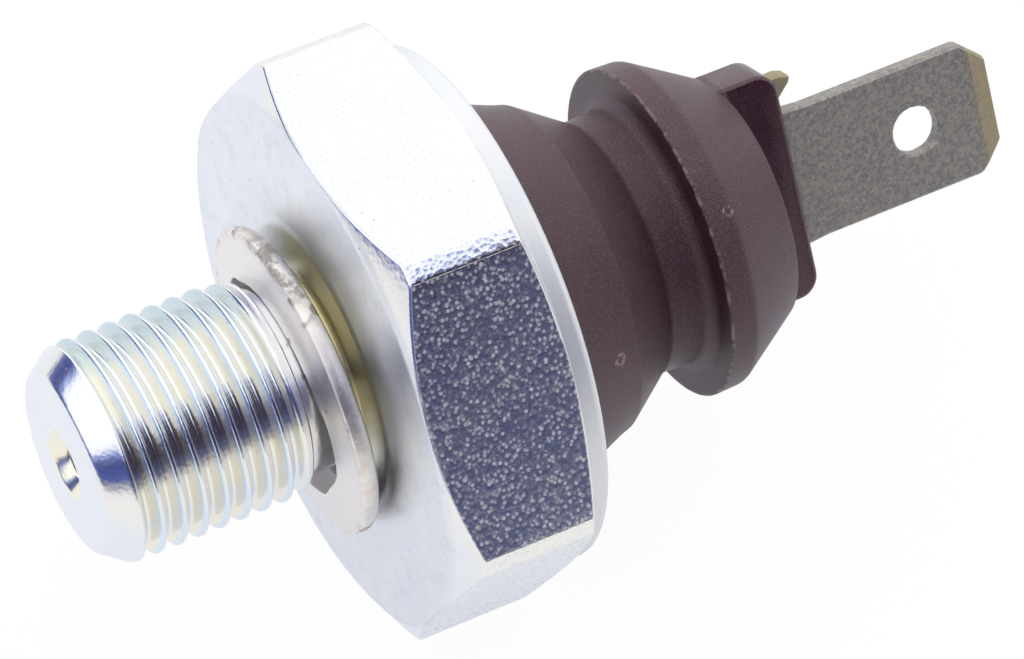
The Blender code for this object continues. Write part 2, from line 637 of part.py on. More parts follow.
def build():
    """Builds every piece, then lays the sender down on a flat of its hexagon."""
    clear_scene()
    parts = new_collection("oil_pressure_sender")
    guides = new_collection("guides")
    carrier = bpy.data.objects.new("sender_axis", None)
    parts.objects.link(carrier)
    pieces = [
        (hex_body, (0.62, 0.64, 0.68), 0.30, 1.0),
        (sealing_washer, (0.60, 0.57, 0.54), 0.5, 0.9),
        (seal_ring, (0.02, 0.02, 0.02), 0.7, 0.0),
        (diaphragm, (0.55, 0.30, 0.06), 0.35, 0.0),
        (contact_ring, (0.66, 0.63, 0.55), 0.35, 1.0),
        (plunger, (0.80, 0.78, 0.70), 0.5, 0.0),
        (contact_plate, (0.72, 0.55, 0.25), 0.35, 1.0),
        (contact_spring, (0.60, 0.60, 0.60), 0.35, 1.0),
        (contact_pin, (0.72, 0.55, 0.25), 0.35, 1.0),
        (insulator, (0.10, 0.05, 0.055), 0.6, 0.0),
        (insulator_gasket, (0.03, 0.03, 0.03), 0.8, 0.0),
        (terminal, (0.32, 0.31, 0.27), 0.45, 1.0),
    ]
    for make, colour, roughness, metallic in pieces:
        piece = make()
        settle(piece, parts, carrier)
        piece.data.materials.clear()
        piece.data.materials.append(material(piece.name, colour, roughness, metallic))
    for guide in GUIDES:
        move(guide, guides)
        guide.parent = carrier
    carrier.location = (-TOTAL_LENGTH / 2, 0.0, ACROSS_FLATS / 2)
    carrier.rotation_euler = (math.radians(90), 0.0, math.radians(90))


build()
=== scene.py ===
"""Oil pressure sender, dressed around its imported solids.

All is in metres in the frame of the solids. X runs along the sender from its threaded tip to its blade,
Z is up, and the sender lies on a flat of its hexagon. Sizes below are in millimetres, with lengths from
the tip.
"""

import bmesh
import bpy
import numpy as np
from mathutils import Matrix, Vector


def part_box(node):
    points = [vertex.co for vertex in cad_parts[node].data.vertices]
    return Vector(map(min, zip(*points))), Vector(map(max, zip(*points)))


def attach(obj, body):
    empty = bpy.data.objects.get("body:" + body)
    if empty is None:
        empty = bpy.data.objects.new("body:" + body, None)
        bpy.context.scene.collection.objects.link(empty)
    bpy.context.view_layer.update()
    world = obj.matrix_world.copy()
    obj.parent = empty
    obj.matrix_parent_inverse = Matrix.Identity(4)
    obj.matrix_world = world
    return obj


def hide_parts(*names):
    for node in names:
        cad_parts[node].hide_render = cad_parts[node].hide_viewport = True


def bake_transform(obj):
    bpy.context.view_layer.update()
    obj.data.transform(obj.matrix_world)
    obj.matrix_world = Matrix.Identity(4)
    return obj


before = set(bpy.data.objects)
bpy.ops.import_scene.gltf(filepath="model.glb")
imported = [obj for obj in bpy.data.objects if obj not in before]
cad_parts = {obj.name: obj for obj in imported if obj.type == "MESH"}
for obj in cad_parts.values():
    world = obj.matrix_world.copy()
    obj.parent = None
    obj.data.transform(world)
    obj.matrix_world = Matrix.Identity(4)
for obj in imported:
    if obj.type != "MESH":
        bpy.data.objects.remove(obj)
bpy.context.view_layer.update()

# Steel body: one turned piece, zinc plated and passivated, with a rolled M10 x 1 thread on its shank, an
# oil port through it, a 24 mm hexagon with its corners turned down, and a wall crimped over the moulding.
MM = 0.001
BODY_LOW, BODY_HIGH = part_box("hex_body")
TIP = BODY_LOW.x / MM
AXIS = (BODY_LOW.z + BODY_HIGH.z) / 2 / MM
CREST_RADIUS = 4.98
PITCH = 1.0
CREST_HALF = 0.075
ROOT_HALF = 0.085
THREAD_START = 1.15
THREAD_END = 9.45
THREAD_PHASE = 0.18
THREAD_ROWS = 25
THREAD_ROOM = 0.5 - CREST_HALF - ROOT_HALF
FLANK_RISE = np.tan(np.radians(60))
TIP_RADIUS = 4.04
MOUTH_RADIUS = 1.56
MOUTH_END = 0.55
PORT_RADIUS = 1.00
NECK = 9.60
NECK_RADIUS = 4.30
SEAT = 12.00
SEAT_RADIUS = 6.42
FLAT_HALF = 12.0
CORNER_RADIUS = 13.6
FACE_RADIUS = 11.95
FACE = 12.1
HEX_END = 18.93
RIM_END = 20.05
CUP_FLOOR = 13.45
CUP_RADIUS = 10.20
LIP = 19.10
LIP_RADIUS = 9.25
CHAMFER_RISE = np.tan(np.radians(30))
REAR_RISE = np.tan(np.radians(23))


def softer_least(a, b, width):
    """Least of two arrays with a rounded change: half of (a + b less the root of (a - b)^2 + w^2)."""
    return 0.5 * (a + b - np.sqrt((a - b) ** 2 + width ** 2))


def body_angles():
    """Angles round the body: even steps over each flat, closer ones where it meets its corner strip."""
    flat = np.linspace(-27.4, 27.4, 36)
    corner = np.array([27.7, 27.95, 28.15, 28.4, 28.8, 30.0, 31.2, 31.6, 31.85, 32.05, 32.3])
    sector = np.concatenate([flat, corner])
    return np.radians(np.concatenate([sector + 60 * k for k in range(6)]) + 30)


def rounded(corners, steps=4):
    """Rows of a profile with its corners rounded.

    A corner is a row of points P and a cut c. Its curve is (1 - t)^2 A + 2 t (1 - t) P + t^2 B, where A
    and B lie c from P along the edges to the corners before and after it, or 0.45 of an edge that is short.
    A cut of 0 keeps the corner sharp.
    """
    points = np.array([np.broadcast_arrays(x, r) for (x, r), _ in corners], float).transpose(0, 2, 1)
    t = np.linspace(0, 1, steps + 1)[:, None, None]
    rows = []
    for i, (_, cut) in enumerate(corners):
        here = points[i]
        if not cut:
            rows.append(here[None])
            continue
        ways = points[i - 1] - here, points[(i + 1) % len(points)] - here
        start, end = (here + way * np.minimum(cut / np.linalg.norm(way, axis=1, keepdims=True), 0.45)
                      for way in ways)
        rows.append((1 - t) ** 2 * start + 2 * t * (1 - t) * here + t ** 2 * end)
    return np.concatenate(rows)


def thread_depth(turns):
    """Depth below the crest at a phase in turns: 60 degree flanks between a flat crest and a flat root.

    It is the straight-sided form averaged over a short window, which rounds its corners.
    """
    window = np.linspace(-0.035, 0.035, 9)
    phase = np.abs((turns[..., None] + window + 0.5) % 1.0 - 0.5)
    rise = np.clip(phase - CREST_HALF, 0, THREAD_ROOM) * PITCH * FLANK_RISE
    return rise.mean(-1)


def eased(value, low, high):
    """0 below low, 1 above high, and 3 t^2 - 2 t^3 between."""
    t = np.clip((value - low) / (high - low), 0, 1)
    return t * t * (3 - 2 * t)


def skin(name, points, marks, closed_rows=True):
    """Mesh of a grid of points (rows, columns, 3) in mm, closed round its columns and, if asked, its rows.

    Each mark is one number for every point, kept as an attribute for the material. The faces are turned
    outward if the volume, the sum of a . (b x c) / 6 over the triangles, comes out negative.
    """
    rows, columns = points.shape[:2]
    index = np.arange(rows * columns).reshape(rows, columns)
    upper = np.roll(index, -1, 0) if closed_rows else index[1:]
    lower = index if closed_rows else index[:-1]
    faces = np.stack([lower, np.roll(lower, -1, 1), np.roll(upper, -1, 1), upper], -1).reshape(-1, 4)
    flat = points.reshape(-1, 3)
    a, b, c, d = (flat[faces[:, k]] for k in range(4))
    volume = (a * (np.cross(b, c) + np.cross(c, d))).sum()
    if volume < 0:
        faces = faces[:, ::-1]
    mesh = bpy.data.meshes.new(name)
    mesh.from_pydata((flat * MM).tolist(), [], faces.tolist())
    for label, values in marks.items():
        mark = mesh.attributes.new(label, "FLOAT", "POINT")
        mark.data.foreach_set("value", np.broadcast_to(values, (rows, columns)).astype(np.float32).ravel())
    mesh.shade_smooth()
    made = bpy.data.objects.new(name, mesh)
    bpy.context.scene.collection.objects.link(made)
    return made


def turned_points(rows, angles):
    """Points of rows of (length, radius) swept round the axis: x, y = r cos a, z = axis + r sin a."""
    length, radius = rows[..., 0], rows[..., 1]
    return np.stack([TIP + length, radius * np.cos(angles), AXIS + radius * np.sin(angles)], -1)


def steel_body():
    """Grid of the whole closed profile, with the hexagon and the thread worked out for every angle.

    The hexagon's side is the least of its corner radius and its flat's distance over the cosine, and its
    chamfers rise with that radius. The mark "flat" is 1 on the flats and 0.6 on the corner strips, and
    "flank" is the sine of the thread's phase, below 0 on the flanks that face the tip.
    """
    angles = body_angles()
    off = (angles % np.radians(60)) - np.radians(30)
    side = softer_least(np.full_like(off, CORNER_RADIUS), FLAT_HALF / np.cos(off), 0.04)
    front = FACE + (side - FACE_RADIUS) * CHAMFER_RISE
    rear = HEX_END - (side - FACE_RADIUS) * REAR_RISE
    one = np.ones_like(angles)

    head = rounded([
        ((LIP * one, CUP_RADIUS), 0), ((LIP * one, LIP_RADIUS + 0.12), 0),
        ((LIP + 0.12 * one, LIP_RADIUS), 0), ((RIM_END - 0.15 * one, LIP_RADIUS), 0.08),
        ((RIM_END * one, LIP_RADIUS + 0.25), 0.12), ((RIM_END * one, 11.86), 0.95),
        ((HEX_END + 0.06 * one, 11.80), 0.03), ((HEX_END * one, FACE_RADIUS), 0.04),
        ((rear, side), 0.12), ((front, side), 0.14), ((FACE * one, FACE_RADIUS), 0.18),
        ((FACE * one, SEAT_RADIUS + 0.36), 0.22), ((SEAT * one, SEAT_RADIUS), 0.16),
        ((SEAT * one, NECK_RADIUS), 0.35), ((NECK * one, NECK_RADIUS), 0.08),
        ((NECK - 0.14 * one, NECK_RADIUS + 0.36), 0.04),
    ])
    flat_mark = np.zeros(head.shape[:2])
    on_side = np.abs(head[..., 1] - side) < 0.02
    at_corner = side >= CORNER_RADIUS - 0.03
    flat_mark[on_side & ~at_corner] = 1
    flat_mark[on_side & at_corner] = 0.6

    count = int((THREAD_END - THREAD_START) * THREAD_ROWS)
    x = np.linspace(THREAD_END, THREAD_START, count)[:, None] * one
    turns = x / PITCH - angles / (2 * np.pi) + THREAD_PHASE
    crest = CREST_RADIUS - 0.28 * np.clip((x - 8.3) / 1.15, 0, 1)
    envelope = softer_least(crest, TIP_RADIUS + (x - 0.02) * 0.735, 0.06)
    share = eased(x, THREAD_START + 0.05, THREAD_START + 0.55)
    share = share * (1 - eased(x, THREAD_END - 0.9, THREAD_END + 0.1))
    radius = envelope - share * thread_depth(turns)
    thread = np.stack([x, radius], -1)
    slope = np.sin(turns * 2 * np.pi)

    tip = rounded([
        ((0.55 * one, 4.43), 0), ((0.0 * one, TIP_RADIUS), 0.30), ((0.0 * one, MOUTH_RADIUS), 0.12),
        ((MOUTH_END * one, PORT_RADIUS + 0.01), 0.06), ((CUP_FLOOR * one, PORT_RADIUS), 0),
        ((CUP_FLOOR * one, 7.60), 0), ((CUP_FLOOR + 0.40 * one, 7.60), 0),
        ((CUP_FLOOR + 0.40 * one, CUP_RADIUS), 0),
    ])
    rows = np.concatenate([head, thread, tip])
    blank = np.zeros(tip.shape[:2])
    flank = np.concatenate([np.zeros(head.shape[:2]), slope * share, blank])
    flats = np.concatenate([flat_mark, np.zeros(thread.shape[:2]), blank])
    return skin("steel_body", turned_points(rows, angles), {"flank": flank, "flat": flats})


class Paint:
    """An output of a shader node, with arithmetic that adds the Math nodes it needs."""

    def __init__(self, tree, socket=None):
        self.tree = tree
        self.socket = socket

    def node(self, kind, output=0, settings=None, **sockets):
        """Adds a node: its settings first, then its sockets by name or, as n0, n1, by number."""
        made = self.tree.nodes.new("ShaderNode" + kind)
        for key, value in (settings or {}).items():
            setattr(made, key, value)
        for key, value in sockets.items():
            self.feed(made.inputs[int(key[1:]) if key[1:].isdigit() else key.replace("_", " ")], value)
        return Paint(self.tree, made.outputs[output])

    def feed(self, socket, value):
        """Links an output to a socket, or sets the socket to a plain value."""
        if isinstance(value, Paint):
            self.tree.links.new(value.socket, socket)
        elif socket.type == "RGBA":
            socket.default_value = (*value, 1.0)
        else:
            socket.default_value = value

    def maths(self, operation, other=0.0, first=None):
        """A Math node on this value and another, or on another and this value."""
        pair = {"n0": self, "n1": other} if first is None else {"n0": first, "n1": self}
        return self.node("Math", settings={"operation": operation}, **pair)

    def __add__(self, other):
        return self.maths("ADD", other)

    __radd__ = __add__

    def __sub__(self, other):
        return self.maths("SUBTRACT", other)

    def __rsub__(self, other):
        return self.maths("SUBTRACT", first=other)

    def __mul__(self, other):
        return self.maths("MULTIPLY", other)

    __rmul__ = __mul__

    def __truediv__(self, other):
        return self.maths("DIVIDE", other)

    def __pow__(self, other):
        return self.maths("POWER", other)

    def least(self, other):
        return self.maths("MINIMUM", other)

    def most(self, other):
        return self.maths("MAXIMUM", other)

    def step(self, low, high):
        """Smooth change from 0 to 1 as this value goes from low to high."""
        return self.node("MapRange", settings={"interpolation_type": "SMOOTHSTEP"},
                         n0=self, n1=low, n2=high, n3=0.0, n4=1.0)

    def tint(self, low, high):
        """Colour between two colours, with this value as the share of the second."""
        return self.node("Mix", 2, {"data_type": "RGBA"}, n0=self, n6=low, n7=high)

    def part(self, axis):
        """One part of a vector, 0 for X to 2 for Z."""
        return self.node("SeparateXYZ", axis, n0=self)

    def noise(self, scale, detail=2.0, rough=0.5):
        """Noise over this position, from 0 to 1."""
        return self.node("TexNoise", 0, n0=self, Scale=scale, Detail=detail, Roughness=rough)

    def cells(self, scale, output=0):
        """Distance to the nearest of scattered points, or with output 1 a colour for each."""
        return self.node("TexVoronoi", output, n0=self, Scale=scale)

    def distance(self, spot):
        """Distance of this position from a spot."""
        return self.node("VectorMath", 1, {"operation": "DISTANCE"}, n0=self, n1=spot)

    def mark(self, name):
        """Number that a computed surface keeps at each of its points."""
        return self.node("Attribute", 2, {"attribute_name": name})


def finish(name, maker):
    """A material whose Principled sockets come from a function of the position in mm about the axis."""
    made = bpy.data.materials.new(name)
    made.use_nodes = True
    tree = made.node_tree
    shader = tree.nodes["Principled BSDF"]
    start = Paint(tree)
    place = start.node("TexCoord", 3)
    place = start.node("Mapping", n0=place, Location=(0.0, 0.0, -AXIS), Scale=(1 / MM, 1 / MM, 1 / MM))
    for key, value in maker(place).items():
        start.feed(shader.inputs[key], value)
    return made


def bumped(place, height, depth):
    """Normal from a height, with its depth in metres."""
    return place.node("Bump", Strength=1.0, Distance=depth, Height=height)


def zinc(place):
    """Bright zinc: blue-white, with painted cream and teal reflections and painted shade on the thread's
    flanks, gold round the seat, painted shade round the washer, and specked flats.

    The marks "flank" and "flat" say which flank of the thread a point is on, and whether it is on a flat or
    a corner strip. The rest follows from the length and the radius.
    """
    x = place.part(0)
    across = place.part(1)
    up = place.part(2)
    radius = (across * across + up * up) ** 0.5
    flank = place.mark("flank")
    flat = place.mark("flat")
    drift = place.noise(0.35, 3.0, 0.6)
    fine = place.noise(5.0, 3.0, 0.6)
    colour = drift.step(0.35, 0.68).tint((0.88, 0.90, 0.94), (0.92, 0.93, 0.93))
    # Painted reflection and shade on the thread, set by which flank a point is on: blue and cream
    # reflections on the flanks that face the tip, a teal reflection on their upper side, and a darker shade
    # on the rear flanks.
    colour = flank.step(0.15, 0.75).tint(colour, (0.88, 0.93, 0.97))
    painted_cream_reflection = place.noise(0.9, 2.0).step(0.35, 0.7).tint((0.98, 0.92, 0.70), (0.95, 0.92, 0.80))
    colour = flank.step(-0.10, -0.50).tint(colour, (0.78, 0.89, 0.95))
    colour = (flank.step(-0.20, -0.60) * radius.step(4.86, 4.70)).tint(colour, painted_cream_reflection)
    # Painted teal reflection on the upper side of the flanks that face the tip.
    painted_top_reflection = ((up * 0.75 + across * 0.66) / radius).step(0.72, 0.95) * flank.step(-0.15, -0.45)
    colour = (painted_top_reflection * 0.8).tint(colour, (0.58, 0.72, 0.75))
    # Painted shade: the rear flanks are a darker grey.
    colour = (flank.step(0.05, 0.45) * 0.8).tint(colour, (0.78, 0.79, 0.84))
    mouth = x.step(TIP + 1.0, TIP + 0.7) * radius.step(MOUTH_RADIUS + 0.10, MOUTH_RADIUS + 0.02)
    colour = mouth.tint(colour, (0.97, 0.94, 0.78))
    on_face = x.step(TIP + FACE - 0.5, TIP + FACE - 0.32) * x.step(TIP + FACE + 0.3, TIP + FACE + 0.1)
    side = ((up * 0.88 - across * 0.47) / radius).step(0.1, 0.8)
    gold = side.tint((0.64, 0.65, 0.58), (0.70, 0.61, 0.24))
    colour = (radius.step(6.70, 6.35) * on_face * (0.15 + 0.6 * side)).tint(colour, gold)
    # Painted shade round the washer: a grey-green band on the face beside the seat, the washer's shadow and
    # reflection painted in, strongest on one side.
    painted_washer_shade = radius.step(6.3, 6.6) * radius.step(9.4, 6.7) * on_face * (0.3 + 0.7 * side)
    colour = (painted_washer_shade * 0.25).tint(colour, (0.50, 0.57, 0.52))
    dots = place.cells(4.2)
    lone = place.cells(4.2, 1).part(0)
    speck = dots.step(0.50, 0.14) * (0.35 + 0.55 * lone) * flat
    corner = flat.step(0.30, 0.50) * flat.step(0.90, 0.70)
    dull = fine.step(0.40, 0.75) * flat
    pits = place.cells(1.7).step(0.10, 0.05) * place.cells(1.7, 1).part(1).step(0.80, 0.84)
    colour = (pits * 0.6).tint(colour, (0.30, 0.27, 0.25))
    satin = x.step(TIP + HEX_END - 0.10, TIP + HEX_END + 0.05)
    satin = satin * x.step(TIP + RIM_END + 0.5, TIP + RIM_END + 0.3)
    cloud = place.noise(0.9, 3.0, 0.6)
    colour = (cloud.step(0.48, 0.70) * on_face * 0.35).tint(colour, (0.66, 0.72, 0.76))
    height = fine * 0.25 + dots * 0.75
    return {
        "Base Color": colour,
        "Metallic": 1.0 - speck * 0.58 - dull * 0.08 - satin * 0.35,
        "Roughness": (0.13 + 0.10 * drift + 0.30 * speck + 0.14 * dull + 0.25 * pits + 0.18 * on_face).most(
            satin * (0.42 + 0.16 * fine)),
        "Normal": bumped(place, height * (0.2 + 0.2 * flat + 0.8 * corner), 0.000024),
    }


body = steel_body()
body.data.materials.append(finish("zinc_plate", zinc))
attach(body, "sender")
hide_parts("hex_body")

# Sealing washer: a soft grey crush ring pressed from sheet, with rounded edges. Three inner tabs, of which
# the top one is wide, keep it on the neck, where it hangs down and leans.
WASHER_RADIUS = 7.15
WASHER_HALF = 0.675
WASHER_CREASE = -0.21
WASHER_DISH = 0.17
WASHER_BORE = 5.10
WASHER_TAB = 4.85
TAB_SPREAD = np.radians(50)
WIDE_TAB = np.radians(95)
WIDE_TAB_REACH = np.radians(45), np.radians(62)
WASHER_LEAN = np.radians(3.4)
WASHER_DROP = 0.45
WASHER_PLACE = 10.83
STAIN = (-11.55, -2.2, 6.3)


def crush_washer():
    """Ring of a rounded section: a dished front, a flat rear and a bore with three tabs.

    The bore's radius is the bore less a cosine-squared bump at each tab, or less the wide tab's own eased
    bump where that is more. The ring is turned about Y by the lean, then moved down.
    """
    angles = np.linspace(0, 2 * np.pi, 288, endpoint=False)
    step = 2 * np.pi / 3
    off = (angles - np.pi / 2 + step / 2) % step - step / 2
    bump = np.cos(np.clip(off / TAB_SPREAD, -0.5, 0.5) * np.pi) ** 2
    bump = np.maximum(bump, 1 - eased(np.abs(angles - WIDE_TAB), *WIDE_TAB_REACH))
    bore = WASHER_BORE - (WASHER_BORE - WASHER_TAB) * bump
    one = np.ones_like(angles)
    front = WASHER_CREASE - WASHER_DISH * (WASHER_RADIUS - bore)
    section = rounded([
        ((front, bore), 0.10), ((WASHER_CREASE - 0.05 * one, WASHER_RADIUS - 0.45), 0.2),
        ((WASHER_CREASE * one, WASHER_RADIUS - 0.04), 0.12), ((0.30 * one, WASHER_RADIUS), 0.25),
        ((WASHER_HALF * one, WASHER_RADIUS - 0.30), 0.28), ((WASHER_HALF * one, bore), 0.12),
    ], 6)
    length, radius = section[..., 0], section[..., 1]
    wave = 0.012 * np.sin(3 * angles + 0.6) + 0.008 * np.sin(7 * angles)
    length = length + wave * eased(radius, 5.4, 7.0)
    up = radius * np.sin(angles)
    x = WASHER_PLACE + length * np.cos(WASHER_LEAN) - up * np.sin(WASHER_LEAN)
    z = up * np.cos(WASHER_LEAN) + length * np.sin(WASHER_LEAN) - WASHER_DROP
    points = np.stack([TIP + x, radius * np.cos(angles), AXIS + z], -1)
    return skin("crush_washer", points, {"edge": eased(radius, 6.6, 7.1)})


def washer_metal(place):
    """Soft grey metal: a mottled rim, worn near the top, with one brown stain, spots and fine streaks."""
    edge = place.mark("edge")
    mottle = place.noise(1.6, 4.0, 0.65)
    fine = place.noise(9.0, 3.0, 0.6)
    stretched = place.node("Mapping", n0=place, Scale=(3.0, 0.6, 0.6))
    streak = stretched.noise(3.0, 3.0, 0.6)
    colour = (mottle.step(0.35, 0.65) * edge).tint((0.95, 0.91, 0.87), (0.86, 0.79, 0.73))
    top = place.part(2).step(4.8, 5.8) * place.part(1).step(-1.9, -0.9) * place.part(1).step(3.4, 2.0)
    worn = place.noise(0.55, 2.0).step(0.56, 0.66).most(top) * edge * mottle.step(0.38, 0.56)
    colour = (worn * 0.75).tint(colour, (0.36, 0.32, 0.29))
    stain = place.distance(STAIN)
    colour = (stain.step(0.42, 0.34) * 0.8).tint(colour, (0.36, 0.24, 0.20))
    spots = place.cells(0.8).step(0.16, 0.10) * place.cells(0.8, 1).part(0).step(0.72, 0.76)
    colour = (spots * 0.7).tint(colour, (0.42, 0.32, 0.27))
    return {
        "Base Color": colour,
        "Metallic": 0.95 - 0.3 * worn,
        "Roughness": 0.30 + 0.14 * streak + 0.25 * worn + 0.2 * spots,
        "Normal": bumped(place, fine * 0.4 + mottle * 0.6, 0.00003),
    }


washer = crush_washer()
washer.data.materials.append(finish("washer_grey", washer_metal))
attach(washer, "sender")
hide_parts("sealing_washer")

# Insulator: one dark maroon-brown thermoset moulding, with a base in the cup, a tapered shoulder, a groove
# for a rubber boot, a mushroom flange, and an oblong block that carries the terminal.
SHOULDER_LENGTH = 3.7
SHOULDER_FLARE = 1.42
GROOVE = 26.15
GROOVE_RADIUS = 5.85
FLANGE = 28.17
FLANGE_RADIUS = 7.60
CONE = 29.40
HEAD = 32.55
HEAD_RADIUS = 5.55
STEM_RADIUS = 1.75
BLOCK_LOW = RIM_END + 11.2
BLOCK_TOP = RIM_END + 15.0
BLOCK_SIDE = 5.4
BLOCK_HALF = 1.25
BLOCK_SHIFT = -0.25
BLOCK_CORNER = 1.0
BLOCK_EDGE = 0.24
PIPS = (6.55, -5.0, 5.66), (-0.04, -7.71, 2.28)
TERMINAL_TURN = np.radians(153.9)
STRIP_NORMAL = np.array([np.cos(TERMINAL_TURN), np.sin(TERMINAL_TURN)])
STRIP_SIDE = np.array([-np.sin(TERMINAL_TURN), np.cos(TERMINAL_TURN)])


def on_strip(length, side, off):
    """Points by the terminal's strip: length along the axis, side across the strip, off along its normal."""
    flat = side[..., None] * STRIP_SIDE + off[..., None] * STRIP_NORMAL
    return np.stack([TIP + length, flat[..., 0], AXIS + flat[..., 1]], -1)


def moulded_turning():
    """Closed turned profile of the moulding, outside and inside, with moulded radii at its corners.

    The shoulder widens with the power 1.15 of the way toward the rim. The last corners are the base in the
    cup, the hollow for the contacts and the hole for the terminal's stem.
    """
    angles = np.linspace(0, 2 * np.pi, 216, endpoint=False)
    one = np.ones_like(angles)
    corners = [
        ((HEAD, 0.35), 0), ((HEAD, HEAD_RADIUS), 0.12), ((CONE, FLANGE_RADIUS - 0.05), 0.16),
        ((FLANGE, FLANGE_RADIUS), 0.12), ((FLANGE - 0.02, FLANGE_RADIUS - 0.15), 0.06),
        ((FLANGE, 6.35), 0.25), ((27.85, GROOVE_RADIUS + 0.05), 0.25), ((GROOVE, GROOVE_RADIUS), 0.15),
    ]
    corners += [((RIM_END + SHOULDER_LENGTH - 3.4 * s, 7.58 + SHOULDER_FLARE * s ** 1.15), 0.05)
                for s in np.linspace(0, 1, 9)]
    corners += [
        ((18.20, 9.0), 0), ((18.20, 9.90), 0), ((16.60, 9.90), 0), ((16.60, 5.20), 0), ((18.50, 5.20), 0),
        ((18.50, 2.70), 0), ((24.65, 2.70), 0), ((24.65, STEM_RADIUS), 0), ((30.50, STEM_RADIUS), 0),
        ((30.50, 0.35), 0),
    ]
    rows = rounded([((x * one, r), cut) for (x, r), cut in corners])
    return skin("moulding", turned_points(rows, angles), {})


def capped(name, points):
    """Mesh of a grid that is closed round its columns, with one flat face over each of its two ends."""
    made = skin(name, points, {}, closed_rows=False)
    rows, count = points.shape[:2]
    work = bmesh.new()
    work.from_mesh(made.data)
    work.verts.ensure_lookup_table()
    for first in (0, (rows - 1) * count):
        work.faces.new([work.verts[first + i] for i in range(count)])
    bmesh.ops.recalc_face_normals(work, faces=work.faces)
    work.to_mesh(made.data)
    work.free()
    return made


def moulded_block():
    """Oblong block: a rounded rectangle in the terminal's plane, drawn in at its two faces.

    A point of the outline at angle a is the corner's centre plus the corner's radius times (cos a, sin a).
    Each row takes the outline in by e (1 - sin t) as it goes out by e cos t, so the edges are round.
    """
    turn = np.linspace(0, np.pi / 2, 9)
    angles = np.concatenate([turn + k * np.pi / 2 for k in range(4)])
    across = np.repeat([1, -1, -1, 1], len(turn)) * (BLOCK_SIDE - BLOCK_CORNER)
    along = np.repeat([BLOCK_TOP - BLOCK_CORNER] * 2 + [BLOCK_LOW + BLOCK_CORNER] * 2, len(turn))
    side = across + BLOCK_CORNER * np.cos(angles)
    length = along + BLOCK_CORNER * np.sin(angles)
    t = np.linspace(0, np.pi / 2, 6)
    inset = BLOCK_EDGE * (1 - np.sin(np.concatenate([t, t[::-1]])))[:, None]
    out = BLOCK_HALF - BLOCK_EDGE + BLOCK_EDGE * np.cos(t)
    off = np.concatenate([-out, out[::-1]])[:, None]
    s = side - inset * np.cos(angles) + BLOCK_SHIFT
    x = length - inset * np.sin(angles)
    return capped("block", on_strip(x, s, off))


def brown_moulding(place):
    """Dark maroon plastic with a fine grain, pale dust and a painted sheen on what faces up, pips and a
    scuffed flange edge.
    """
    x = place.part(0)
    across = place.part(1)
    up = place.part(2)
    radius = (across * across + up * up) ** 0.5
    grain = place.noise(16.0, 3.0, 0.65)
    cloud = place.noise(0.6, 3.0, 0.55)
    colour = cloud.step(0.3, 0.7).tint((0.028, 0.006, 0.009), (0.044, 0.011, 0.015))
    smooth = x.step(TIP + HEAD - 0.05, TIP + HEAD + 0.15)
    # Pale powder, stronger where the surface faces up: partly dust, partly a painted sheen of the sky above.
    powder_and_sheen = grain.step(0.50, 0.74) * (0.04 + place.mark("dust_and_sheen") * 0.44) * (1 - smooth * 0.5)
    colour = powder_and_sheen.tint(colour, (0.36, 0.26, 0.30))
    rim = x.step(TIP + FLANGE - 0.14, TIP + FLANGE) * x.step(TIP + FLANGE + 0.16, TIP + FLANGE + 0.02)
    rim = rim * radius.step(FLANGE_RADIUS - 0.18, FLANGE_RADIUS - 0.08)
    rim = rim * place.noise(3.0, 2.0).step(0.42, 0.62)
    colour = (rim * 0.4).tint(colour, (0.46, 0.38, 0.36))
    pip = place.distance(PIPS[0]).least(place.distance(PIPS[1]) * 0.8)
    pip = pip.step(0.30, 0.24) * pip.step(0.10, 0.18) * place.noise(6.0, 2.0).step(0.40, 0.55)
    colour = (pip * 0.5).tint(colour, (0.50, 0.37, 0.31))
    return {
        "Base Color": colour,
        "Specular IOR Level": 1.0,
        "Specular Tint": (1.0, 0.78, 0.88),
        "Roughness": 0.26 + 0.08 * cloud + 0.12 * grain - smooth * 0.16,
        "Normal": bumped(place, (grain * 0.7 + place.noise(4.0, 2.0) * 0.3) * (1 - 0.8 * smooth), 0.00006),
    }


moulding = moulded_turning()
block = moulded_block()
union = moulding.modifiers.new("block", "BOOLEAN")
union.operation = "UNION"
union.solver = "EXACT"
union.object = block
graph = bpy.context.evaluated_depsgraph_get()
joined = bpy.data.meshes.new_from_object(moulding.evaluated_get(graph))
moulding.modifiers.clear()
moulding.data = joined
joined.name = "moulding"
bpy.data.objects.remove(block, do_unlink=True)
joined.shade_smooth()
joined.set_sharp_from_angle(angle=np.radians(32))
# How far each point faces up, kept as the mark for pale dust and a painted sheen where the moulding faces
# up.
normals = np.empty(len(joined.vertices) * 3, np.float32)
joined.vertex_normals.foreach_get("vector", normals)
dust_and_sheen_mark = joined.attributes.new("dust_and_sheen", "FLOAT", "POINT")
dust_and_sheen_mark.data.foreach_set("value", eased(normals[2::3], -0.05, 0.6).astype(np.float32))
joined.materials.clear()
joined.materials.append(finish("brown_moulding", brown_moulding))
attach(moulding, "sender")
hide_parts("insulator")


# Terminal: stamped from plated brass strip, dull and mottled, with a lead-in at its tip, a detent hole, and
# a small bare ear beside its root. It keeps the shape of its solid.
BLADE_END = 45.4
BLADE_HALF = 3.15


